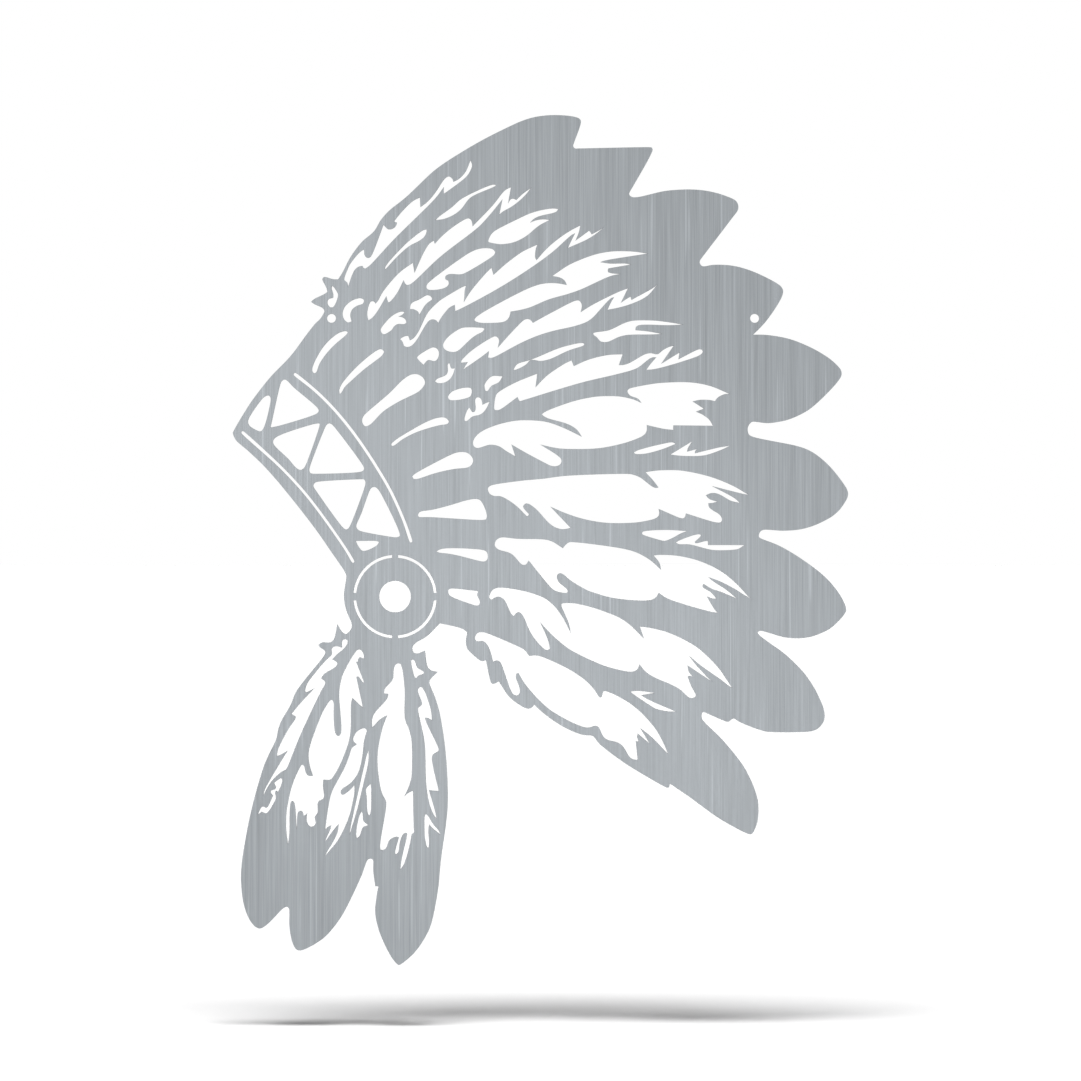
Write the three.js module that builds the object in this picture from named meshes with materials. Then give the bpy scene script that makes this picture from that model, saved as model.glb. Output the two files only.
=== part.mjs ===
// A wall plaque in the form of a feathered headdress in profile, cut from one flat sheet of brushed steel.
// Millimetres, +Z up, the face towards -Y. The back lies on the wall plane Y = 0, and the origin is the
// point on that plane midway between the two screw holes.

import * as THREE from 'three';

// Driving dimensions
const plaqueHeight = 457.2;
const sheetThickness = 1.5;
const screwHoleRadius = 2.4;
const cutTrim = 0.1; // the finished edge of a cut lies this far inside its drawn line
const flatness = 0.18; // furthest that a facet may lie from its curve
const curveSteps = 8; // trial points from one written point of a curve to the next
const ringSteps = 16; // facets along a quarter of the ring slot
const rosetteSides = 40;
const screwSides = 24;

// The cutting drawing has x to the right and y down, and the plaque is 850 of its units tall.
const drawing = { top: 115, bottom: 965, screwLevel: 318.2, leftScrew: 331.4, rightScrew: 754.7 };
const unit = plaqueHeight / (drawing.bottom - drawing.top);
const middle = (drawing.leftScrew + drawing.rightScrew) / 2;

// The rosette at the temple, in drawing units: a hole, and a ring slot held by four bridges.
const rosette = {
  x: 395,
  y: 596.6,
  hole: 15.8,
  slotInner: 38.9,
  slotOuter: 41.7,
  topBridge: 6,
  sideBridge: 7.6,
};

// A line of the drawing is a run of points "x,y" that it bends through smoothly. A "|" stands before a
// point that is a sharp corner, and a run without one is a smooth closed loop.

// The outer edge, clockwise from the notch in front of the first crown feather
const outerEdge = `
  | 338,279.2 341.5,274 346,265 350,257.6 355,250.3 360,243.7 364,239.6 370,234.6 374,231 377,226.5
  380,221 385,214.7 390,209.7 396,205 402,200.4 410,193.3 420,184 430,174 440,166 450,159.2 460,153
  470,147 480,141.2 490,136 500,131 510,126 520,121.5 530,118 540,116 550,115 560,115 570,115.8 576,117
  579.8,118.8 581,121 580.4,124.8 | 578.9,129.5 | 573.8,143.2 573.2,146 574.9,148.2 | 578,148.3
  | 648.5,147 651.6,147.2 652.7,149.3 651,154 | 648,160 | 633,186.3 630.6,190.3 629.2,194 630.5,196
  633,197 637,197 641,196.3 650,194 660,191.7 670,190.2 680,189.5 690,189.3 700,189.8 710,191.3 720,193.8
  730,197.4 735,199.9 737.3,202.4 738.4,206 737.9,210 735,214.3 | 731,219.5 | 702.2,257.3 700.2,260.2
  699.8,262.7 701.2,265.2 703.4,266.2 710,265 720,264.6 730,265.2 740,267.1 750,270.2 760,274.3 770,279.3
  778.2,284 781.7,287.1 783.2,290.6 782.5,295.2 780.2,300.2 775,309 770,316.3 765,322.5 760,328
  756.2,331.6 | 753.3,334.5 760,334.4 770,335.2 780,336.7 790,339 800,342.5 810,347 820.2,352.3 830,358.8
  836.7,364.7 840.3,368.8 841.8,373 840.6,377.6 836.5,383.2 830,390.4 820,400.4 815,405 810,409
  804.6,412.2 800,414.8 790,419 785,420.5 780,421.5 771.8,422.8 765,423 756.4,422 752.6,421.7 750.2,423.4
  748.2,426.6 747.8,430.5 748.8,434.2 751.2,436 757.4,437.4 770.6,440.2 780,441.9 790.2,444.2 800,446.8
  806.6,449.1 814.9,453.5 820,457.3 825.1,461.7 830.3,466.8 835.4,472.7 840,478.6 844.6,485 847.2,489.6
  848.2,493.3 847.5,497.6 844.8,502.5 840,509.4 834.4,514.7 830.3,517.6 820,523 812.8,526 806.7,527.9
  800,529.4 790,530.4 783,530.7 775,530.5 767.7,529.9 763,530 760.3,531.7 759,534.6 759.2,537 760.7,538.2
  765,539.6 770,541.6 780,546 790,551.5 800,557.8 810,564.7 820,572.3 830,581.8 840,594.7 843,600
  845,604.5 846.1,608.5 846,611.5 844.9,613.6 840,619.6 835,624.6 830,628.7 825,631.4 820,633.6
  812.3,636.4 805,637.8 798,638.3 790,638 785,637.3 780,636.2 770,633.2 765,631.7 760.5,630.9 758.3,631.5
  757.7,632.8 760,635.4 765,639.6 770,643.2 780,650.2 785,654 790,658.4 800,668.5 805,674 810,681 815,689
  820,699.2 823.2,707 824.6,713 824.8,717 823.8,721.2 822.2,724.2 819.6,727.2 816.3,729.6 812,731.2
  807,731.8 800,732 785,732 771,732 767,731.7 763.2,730.9 755,728.2 750,726.4 745,724.3 740,722.1
  737,720.5 734.6,718.7 732.7,718.8 730.8,720.2 728.3,721.8 725.4,721.2 720,718.8 710,714.8 705,712.7
  703.3,712.1 702,713.3 701.7,716 702.3,719.2 704.6,722 710,727.2 715,731.8 720,737.1 730,748.5 735,754.5
  740,761.1 745,768.4 750,778.3 754.2,787.8 757,796.4 758.4,805 758.5,813 757.9,819.8 756.1,826 754,831
  752.4,833.5 750.3,834.2 747.7,833.6 740,830.2 730,824.6 720,818.9 710,812.1 700,804.5 690,797.3
  680,790.5 675,787.2 | 670.6,784.1 | 669.6,784.5 669.4,786.8 668.4,787.7 666.5,787.5 664,786.2 660,784
  650,778.1 640,772.3 630,766.5 620,759.8 615,756.2 610,752.5 605,748.5 600,744.4 597.4,741.6 595,738.5
  | 592.6,735.9 590,735.8 585,735.2 580,734.1 575,732.3 570,730.1 560,724.9 550,718.2 545,714.2 540,710.2
  537.2,707.5 | 534.4,704.8 532.9,706.2 531.1,708 528.1,708.7 524.1,707.5 520.3,705.3 516,702.5
  512.2,699.5 508.1,695.5 504.2,689.9 501.2,684.8 | 498.8,681.5 496.9,682.4 495.1,683.6 492.6,683.9
  491.1,682.7 490,678.5 488.6,671.4 487.1,664.3 | 485.9,660.2 484.5,660.7 481.6,661.1 478.6,659.5
  474,655.5 469.6,651.5 467.2,648.5 466.1,644.5 465.8,640.3 466.5,636 | 467.2,632.3 465.7,630.8 462,628.6
  456,626.7 448,624.9 | 439.9,623.3 437.2,626 433.4,630.4 430,633.6 425.2,637.4 420.2,640.4 416,642.7
  413.2,645.5 412.3,648.6 412.8,651.2 414.6,653.2 417.1,653.6 420.2,652.6 423,651.2 | 425,650.4 425.4,654
  426.1,659.7 426.8,664.3 428,667.6 431,670.2 434.1,671.5 | 437.7,671.9 435,674.6 432,677.7 429.8,680.2
  429.3,682.3 430.6,686.2 432.8,691.8 435.2,698 437.4,705 439.2,711 440.4,717.2 441.7,723.8 442.7,731
  443.5,738.4 444.7,746.2 445.7,753.5 446.4,762 446.7,772 446.9,781.5 447.4,790.5 447.8,799 447.7,805
  447.1,812.8 446.1,822.8 444.9,832.4 443.4,842 442.1,852 440.8,861 439.9,870 439.3,879 438.1,889
  436.4,899.5 434.9,908 433.2,916.1 431.5,923 429,930.1 425,937.6 420,945.6 415,952 410,957.1 404.8,961.2
  400.7,964.4 398.7,965 396.3,963.5 393.5,960.2 390,954.9 386.3,948 382.2,939.1 379.1,931.2 377.1,924.2
  375.7,917.5 375.1,911 375.5,904.3 376.5,897 377.5,890.2 | 378.4,886.4 | 375.2,886.3 374.3,881.2
  373.5,874 372.9,866 | 373,860.3 372.4,859.3 370.9,858.7 368.7,859.1 367.2,860.6 366.1,863.3 364.2,869
  360.2,878.6 355,889.5 350.2,900.2 345.2,910 340,918.7 335,925.6 330.1,931.6 325.2,936.6 320.1,940.7
  315,943.9 310.1,946.7 306.3,948.7 303.2,949.9 300.2,950.6 297.6,950.2 295.5,948.8 293.6,945.4
  291.7,940.5 290.3,934 289.4,927 289.1,920 289.2,913 288.9,908.6 287.4,906.9 285.4,907.1 283,908.5
  280.1,911.2 275,916.9 270,922 266,925.2 262.6,927.8 259.8,928.6 256.5,927.6 253,924.7 250,920.7
  247.6,915.6 245,909 242.8,900 241.8,891.2 241.1,884 240.9,876.2 241.3,868 242.1,860 243.5,850.4
  245.2,841 247.2,831.4 249,822 250.6,813.2 252.5,806 254.9,798 257.5,789 259.7,779.2 262.2,770.8
  264.6,764.4 267.4,757.4 270.7,750.3 273.6,744.2 276.2,738.8 277.2,734.5 278.1,729.8 279.7,725.4
  281.1,721.3 283.2,717.3 287,710.8 290.4,705.1 292.9,698.8 294.9,693.9 297.1,689.9 300,685.9 303.6,681.1
  307.5,676.4 311.5,671.5 314.6,667.3 318.5,662.6 322.1,658.3 324.4,655 325.2,652.5 324.5,650.5 322.4,649
  320,647.3 318.4,645.5 319.4,643.8 321.6,642.6 323.6,642.1 326.3,642.6 329.1,642.5 332.2,641.2
  334.2,638.4 335.3,634 336.3,629 | 337.2,624.1 340,628.9 342.4,632.3 345.3,634 348,632.7 350,630.3
  351.5,627.8 351.8,624.3 350.1,619.8 347.8,614.6 345.8,608.5 344.4,602.3 343.9,596.3 344.3,590
  345.4,583.5 346.2,578 346.3,575.2 345.4,573.2 340.2,565.3 330,550 320.3,536 310,521.7 300,509.3
  290,496.4 280,484.1 270,472.6 260,462 250,452.7 245.6,448.7 240,444.1 236,440.3 233.6,435.8 232.8,432.7
  235.3,428.5 240,420.2 245.6,411 250,403.4 260,389.8 270,377.4 275.4,371.6 280,366.7 285.6,361.4
  290.6,355.8 295.8,349.1 300,343.2 305,336.4 310,330 316,322.6 320,318.9 323.4,313.6 324.4,310.8
  322.5,308 318,305.6 313.5,303.6 311,301.6 313.5,299.3 318,297 325,293.5 327.3,291.8 327,289.5 325,285.3
  322.6,280.5 322.3,278.8 323.6,277.1 326,276.9 329,277.8 333,279`;

// The long openings that part one crown feather from the next, from the brow to the nape
const featherGaps = {
  first: `
    | 470.2,160 468,166 465,172 460,177.5 456,180.3 | 453.3,181.4 452.6,178.8 451,177 448.5,176 445,178
    442,181.8 436,191 431,197.5 426,202.5 | 420.4,206.8 | 420,197.1 413,200.5 402,211 396,218
    | 393.9,220.9 395.4,222.2 396.7,222.4 396,225 394,227.5 391,228.8 388,228.8 385.5,227 | 383.3,224.6
    380,234 376,243.5 372,253.8 369.5,257.2 367,257.5 364.6,254.8 364.3,251 | 363.6,249 360,251.5 355,257
    350,263.5 346.5,271 344.2,277.5 344.1,279.8 345.5,281.3 347,282.4 | 348.2,286.6 349.6,283.5 352,275.5
    355.5,269 359,266.5 | 362.5,265.9 363.2,267.6 365,268.5 369,266 375,260 392,241.5 410,223.5 430,204
    436,197.5 440.5,191.8 | 444,186.8 443.5,190 | 443.9,193.8 447,191.5 455,185.5 462,180.5 467,176
    470.5,170.5 472.1,166.3 471.8,163`,
  second: `
    | 531.2,187.4 527,190.1 522,194 518.6,197.2 | 516.1,199.7 514.5,198.5 512.5,198.2 510.3,199.2
    | 508.1,203.5 509,198 510.3,192 | 511.1,187 508,188 504,190.8 501,194.2 493,204.5 480,217.8
    | 472.4,226 472.2,222.5 471.3,219.8 469.5,218.2 467.3,218 463,220 455,225 448,230.3 441,236.5
    | 434.6,243.5 | 433.8,240.2 430.5,242 427,246.5 423,253 420,259.5 416.5,267 | 414.3,272.5 413.3,267
    | 412.7,262.5 408,265.5 400,271.5 394,277.5 387,286 381,294 378,300 | 375.2,303.4 374.3,301.5
    372.5,300.8 370.3,301.5 369,304 367.3,310 367,315 | 368.3,320.3 372,318 375,314.5 379,309 383,301.5
    | 386.5,296 387,299.5 388.3,302.3 390.5,301.3 395,296 398,291.5 400.5,286 | 403.7,280.1 405,283.5
    407,285 411,283.8 416,279.5 422,273.5 430,266.5 440,257 450,249.4 460,241.6 470,233.9 476,229.1
    482.6,223.1 489.2,215.6 495.8,207.8 499.5,203.3 | 502.5,199.1 500.5,207 | 499.1,214.3 503,211.5
    509,208.3 516,203.5 523,197.5 528,192`,
  third: `
    | 608.2,222 604,226.5 600,229.3 596,231.7 | 591.7,234 590.5,231.8 | 589,230.4 586,232.5 582,235.5
    578,238.5 | 575.4,240.3 577.5,236 579.3,231 | 580.3,225 577,227 570,230.5 563,235 557,239.5 551,244.3
    545,250 540,255.5 | 536.4,259.9 535.3,257 535.5,252 536.4,247 | 537.5,244.1 535,245 530,247.5
    522,251.5 515,256.5 507,262.5 500,268.5 | 493.3,274.6 492.4,271 | 491.5,267.4 488,270.5 481,278.5
    474,286.5 468.5,294 | 463.6,302 464.5,297 464.8,291 | 466.1,285.2 463,286.3 456,290.5 448,295 440,300
    434,305.5 429,310.5 425,317 421.5,324 418.5,331 414.5,336.5 411.8,339.2 | 409.8,340 408.8,337.5
    408.3,335.8 406.5,335.5 403.5,336.5 400.7,338 400.1,339.4 402,341 403,343.5 404,345.8 406.5,347
    410,346.5 413,344.5 416,341 419,335.6 422,331 426,324.5 429,320.8 431.5,319.5 434,319.5 436.5,320.7
    | 438.3,322.8 440,319.5 444,314 448.5,308.5 452,306 | 454.7,304.7 454.6,308 | 455.1,311 458,310
    466,305.5 475,301 483,296.7 492,292 500,286.8 510,281 520,275 530,267.8 540,261 550,254 558,247.5
    565,241 570,236.5 573,234 | 575,233 572.5,238 570,243 | 568.1,247.9 574,245.3 580,242.7 587,239.5
    593,235.5 599,231.5 604,226.9`,
  fourth: `
    | 657.5,284.4 654,287 650,289.2 644,292.7 638,296 | 631.4,299.7 | 630.6,296.3 627,298.3 | 620.9,302.8
    623,298.5 626,293 | 628.1,288.1 625,289 618,291.8 610,295.8 600,300.5 592,304.8 585,309 | 580.5,312
    581.5,309 582,306 581.3,302.5 579.5,300.5 577,300 572,302 562,307 552,312 545,316 538,319.5
    | 532.8,322.5 531.5,320.5 529.5,319 526.5,318.7 523.5,320 519,324.5 512,331.5 505,339 500,344.5
    | 497.6,347.5 498.8,343 499.2,340 498,337.5 495.5,336 492,337 485,341 477,346.5 470,351.5 464.5,356.8
    461.2,360.6 | 461.1,362.7 464,362.5 | 467.6,362 466,365 | 463,369.7 466,367.5 471,364 478,359.3
    484,355 | 489,351 488.5,354.5 | 488,357.4 491,358 495,356.7 500,354 507,350.5 515,346 525,341
    535,336.7 545,333.3 555,330.5 565,328.5 575,326 583,323.5 589,320.5 594,316.5 599,311 604,305.5
    609,300 612,297.7 | 614,297.1 611.5,301 609.5,305.5 | 607.4,309.7 612,309 620,307.3 628,305 636,302
    643,298.7 649,294.5 653,290`,
  fifth: `
    | 678.4,359.1 679,355.5 | 679.5,352.3 676,354.5 670,358.5 664,362 | 661.1,363.8 663.5,360 668,354
    671.5,349.5 | 673.7,345.8 671,346 667,347.8 662,350.3 659,352.8 657.3,354 654,353.3 650,352.8 645,354
    640,356.8 634,360.3 628,363.3 623,364.7 | 619,364.9 620.5,361 622,356.5 | 622.8,354 617,354 610,354.5
    602,355.8 594,357.7 586,360.3 580,362.8 | 573.8,365.9 572.8,363.5 | 571.6,360.1 568,361.5 562,365
    556,368.8 550,373 544,378 539,383.5 | 535.5,387.1 536.3,381 537,376.5 | 537,373.4 532,375.3 526,377.5
    518,381 510,385.2 504,388.3 499,391.5 496,394.5 495,398 494.5,404 494,408 494.5,409.7 497,410.2
    500,409.5 504,407 509,403.5 513,400.5 516,398 | 517.7,396.9 518.5,399.5 | 519.8,401.3 525,400
    535,396.7 545,393.5 555,390.5 570,386 585,381.7 600,378 615,374.7 628,371.2 636,368.7 641,365.5
    645.5,361.8 649.5,358.8 653,357.3 | 656.3,357.1 653,361 649.5,365 | 646.3,369.8 652,369.5 660,367.8
    670,365.3 680,362.2 690,359 697,356.5 701.5,354 703,351.5 702.2,349.6 700,348.9 697,349.7 690,353.5
    684,356.5`,
  sixth: `
    | 729.8,393.7 722,390.3 715,387.3 708,385 700,383.3 690,382 680,381.8 670,382 660,382.7 650,384
    640,386.2 632,387.5 628.5,389 627.3,391 628.2,393.5 630.5,395.8 635,397.3 639,399.5 | 641.6,402.7
    638,401 633,399 626,397.3 618,396 608,395.8 600,396 590,397.2 580,399.4 570,402 560,405.6 550,409.4
    545,411.6 541.9,414.1 545,417 550.3,419.1 557.5,421 566.7,423.8 573.8,427.3 578,431 | 582,436.6
    576.9,434.4 570.8,430.9 560,426.2 550.3,422.6 540,420.6 530,420 520,420 510.3,421.3 500,423.7
    489.7,427.1 480.5,431.9 476,435.8 473.3,440 472.8,443.3 474,446.6 477,448 482,447.3 487,445.4
    491.5,444.7 496,445.4 500,446.8 505.1,450.4 510.3,453.5 | 515.4,456.2 514.1,452.4 512.3,446.8
    | 511.3,444.4 515.4,446.8 521.5,450.4 530,455.1 540,460.4 547.2,464.1 551.3,465.9 555.4,466.3
    559.5,465 561.5,462.2 561.4,459.2 558.5,456 552.3,451.9 546.2,447.8 | 540.4,444.4 547.2,445.8
    552.3,447.3 560,448.6 570,449 580,449.1 590,448.9 600,448.1 610,446.5 620,444.2 630,441.4 640,437.4
    643.5,435.4 646,432.8 647.1,429.4 | 646.8,425.1 651.5,426.1 660,428.1 666.9,429.4 | 673.3,429.9
    | 673.4,425.4 | 713,425.8 710,420.1 705.9,416.4 700.3,413.1 | 696.1,411.5 699.9,410.1 | 704.1,408.5
    698.6,405.2 | 692.8,401.2 700.2,399.9 710,400.1 | 715.1,401.2 717.2,398.2 720.3,396 724.4,394.3`,
  seventh: `
    | 748.6,494.6 743.8,494 737.7,492.6 730,490.6 720.3,488.3 | 712,486.1 717,488.8 723.3,491.9 730,495.2
    735.7,498.7 | 740,502.8 736.5,502.3 730,500.4 725.4,497.8 720.3,494.9 715.5,493.2 711,493.2
    | 706,495.2 709,498.4 713.1,500.2 | 717.2,501.4 713.1,502.9 | 708.5,503.2 709.3,506.8 713.1,510.2
    718.2,513.2 721.3,516.3 722.3,519.6 721,522.2 717.5,522.7 712,521.1 706.9,519.6 700.2,517.9
    692.6,515.4 | 685.9,513.5 685.4,516.5 683.8,518.2 680.6,518.2 675.1,515.9 670,513.8 663.8,511.2
    | 658.5,508.9 659.5,512.2 658.8,515.8 655.8,518.3 650.5,520 640.3,522 630,523 620,523.2 610,523.1
    600,522.2 590.3,520.5 580,518.1 570.3,515 562.6,512.1 555.4,508.9 | 550.3,506.3 555,511.5 559.8,516.5
    564.8,521.6 | 570.6,527.6 567,528.8 563,529.3 560,529 555.2,527.4 550.3,524.3 545.5,519.6 540.3,514
    536,509.2 531,505.4 527.9,503.7 525,503.9 523.2,506 523.7,507.9 527.5,511.9 529,514.4 527.2,516.3
    524.8,514.6 520.6,510 515.4,505.2 510.3,501.5 505.1,498.5 500,496.2 494,496 489.8,494 488,490.8
    487.8,488.2 490,485.7 500,483.6 510.3,482.1 520.5,480.6 530.5,479.5 540,478.8 550.2,477.6 560,476.2
    570,475.3 580,474.9 600,474.6 620,474.1 630,473.8 634.1,474.7 640.2,477.2 645.3,481 650.5,485.1
    653.8,487 656.5,487.8 | 658.5,487.4 655.5,483.4 650.6,477.6 | 645.4,472.1 650.5,471 660,470.1
    670,469.8 680.2,470.2 690,471.7 700.2,473.8 710,476.4 720.2,480 730,484.1 740,489.3`,
  eighth: `
    | 562.9,548.1 564.6,545.7 567.1,543.2 569.2,542.1 573.3,541.9 580,542.6 590,543.7 600,544.9 610,546.4
    620,548 630,550.1 640,553.8 645,556.6 650,559.7 655,563.8 658.8,567.8 | 661.3,569.9 660.7,566.9
    659.5,563.2 657.1,559.6 | 653.6,555.5 656,554.9 670,555 676,555.4 680,556.3 690,558.1 700,560.9
    710,565.2 720,570.4 730,577.7 735,582.2 740,586.9 745,592 750,597.6 | 752.1,599.2 748.3,597.3
    743.8,594.7 740,592.1 735,589.1 730,586.4 720,581.4 715,579.5 710,577.8 | 708,576.9 712,580.2
    720,585.2 725.8,589.2 730,592.6 733.9,595.8 | 736.4,598.5 733.2,597.3 727.1,594.5 720,591.5 712,588.9
    707.1,586 | 703.6,583.9 702.9,585.3 | 703.1,587 706.1,588.8 710.2,591.5 713.9,595.2 | 716.4,598.7
    713.5,598.8 710.6,597.9 | 706.9,596.1 709.1,599.9 712.2,605 715.2,610 | 717.8,612.9 713.9,612.5
    707.8,611 700,608.8 690,605.9 680,603.1 675,601.3 670,599.6 664.8,597.2 661.1,594.6 | 658.8,592.8
    657.8,595.3 655.4,598 651.9,599.8 647.8,600.6 640,600.8 630,600.1 620,599 610,597.4 600,594.5
    590,591.5 585,589.2 580,586.5 570,580.1 565.1,575.8 562.4,573.9 560,573.3 558,574.2 557,576.6
    557.6,579.6 559.6,582.7 563.1,585.6 566.6,588.6 568.1,591 567.3,592.6 564.8,593.1 560,592.3
    555.9,591.2 552.4,589.1 550,586.6 545,580.4 540,574.4 535,568.5 531.9,564.7 | 528.5,560.5 527.5,562.7
    526.5,564.2 524.1,565 521.5,564.4 519,561.9 516.4,559 513.5,555.7 510,553.2 505,551.5 500,550.2
    497,548.7 495.3,546.9 494.5,545 495.2,541.4 497.5,538.8 501,537.3 505,537.3 510,538 520,538.7
    530,538.9 540,539 545,539.4 550,540.4 555,542.8 559.6,545.8`,
  ninth: `
    | 571.3,633.7 570.6,629.7 568.6,623.2 565.6,615.6 562.6,608.5 561.2,605 561.8,603.7 564,603 568,602.8
    575,603.3 580,604.2 590,606.6 600,609.8 610,613.5 620,617.8 625,621 630,624.7 635,629.5 640,635.1
    | 644.2,638.8 642.6,634.6 640.6,629.5 | 639.8,626.7 645,626.9 650,627.9 660,629.9 670,633 680,637.4
    690,642.6 700,649.4 705,653.7 710,658.5 715,664 720,669.4 724,675.3 728,681.2 730.5,684.8
    | 732.2,687.5 729.5,686.4 725,682.8 720,679.1 710,672 700,665 695,660.8 691.5,658 | 688.8,655.6
    692.6,660.7 697,665.6 700,668.5 705,674.1 709.1,678.1 711.6,680.8 | 713.4,682.1 710,680.3 705,677
    700,673.6 695,670.5 690.9,667.7 | 687.3,665.3 687.9,668.3 689,671.5 690.5,674 | 693,676.7 690.9,676.4
    689.1,676 | 687.9,676.8 689,679.3 690.4,683.4 692.4,688 694.4,691.8 696.1,695.2 695.2,697.2
    692.6,698.2 690,698 687.3,696.4 684.8,693.9 682.3,691.5 680,689.6 675,686.7 670,684.2 660,680
    655,677.8 650,674.9 646.1,672.3 643.2,669.3 641,666.3 | 639.6,664.5 638.8,667.2 637.5,669.5 635.3,671
    631,672 626,671.4 620,670.1 615,669 610,667.7 605,666.2 600,664.2 590,660 580,655.2 570,649.8
    565,646.2 560,642.1 555,637.9 550,632.6 545,627.9 | 540.2,622 542.4,627 545,632 547.5,638.5 549.5,645
    | 550.1,648.6 548.8,649.9 545.8,650.1 543,648.2 540,645.1 535,639.5 530,631.8 526.1,622.8 523,616.2
    521,613.4 518.9,612.2 517,612.7 515.3,614.2 | 513.8,616.2 512.5,615.4 510.6,612.9 508.3,608.8
    506.4,604.5 504.4,600.2 502,598.1 499.1,596.9 496.1,597.1 493.6,598.5 491.9,599.8 490.2,599.2
    489.1,597 489.6,594.4 491,591.8 493.4,589.2 497,587.8 500,587.4 510,588.3 520,590 530,592.5 540,595.8
    545,598.2 550,601.8 555,606.6 560,613 565,620.9 568.4,627.7`,
  tenth: `
    | 529.3,655.8 532.1,655.4 536,655.3 540,656 545,658 550,660 560,664.4 570,669.6 580,676 585,679.8
    590,684.4 595,690.2 598,694.8 | 599.5,697 600.5,697.4 | 601.8,696.4 602.4,693.5 603.1,691.6
    604.2,690.9 606.6,691.2 610,692.4 615,694.6 620,697.3 625,700 630,703.2 635,707 640,711.2 645,716.1
    650,721.8 655,728 658.1,732.6 661,737.9 664,743.9 666.6,749.6 | 668,754.2 665,751.4 661,746.7
    655,740.6 650,735.8 645,731.8 | 640.2,727.9 643.1,732.5 646.2,737.9 648.7,742 | 649.7,743.6 647,741.6
    643.8,739.1 640.5,735.8 | 637.8,733.7 637.3,736.7 638.5,740.2 | 638.9,741.8 637.4,741.7 | 635.9,741
    636.4,744.5 637.1,749.7 637.5,755 | 637.9,759.8 635.3,760 632.2,759.2 629.5,757 627,753.4 624.6,749
    622.2,745.8 620,744 616.2,742.2 610,740.8 606,739.2 603.4,736.8 601.4,733.3 600,729.6 598.2,727
    595.6,726 592.6,726.6 590,727.5 587.3,727.8 585,727.6 580,726 575,724 570,721.6 565,719.1 560,716.3
    555,713.3 550,710 545,705.7 540,701.3 535,695.8 530,690.4 526,685.6 522,679.7 519.6,675.6 518.4,673.2
    517,673.3 515.9,676 516.4,679 518,682.8 519.5,687 520,690.2 519.8,692.6 518.5,695 516.2,695.7
    513.2,694.4 510.6,690.2 508.1,683.8 505.6,677.2 503,670.1 501.5,665.5 499.9,662 497.5,660.8
    495.2,660.9 | 493.1,661.9 491.8,657.5 490.6,653.1 489.1,648.6 487.1,644.8 484.6,642.3 482,641
    479,641.2 476.4,641.3 475,639.4 474.9,637.2 476,634.5 478.1,632.6 481,632 485,632.5 489.1,633.9
    494,635.9 500,638.5 510,642.7 520,647.2 524.3,649.6 527,652.5`,
};

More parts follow.
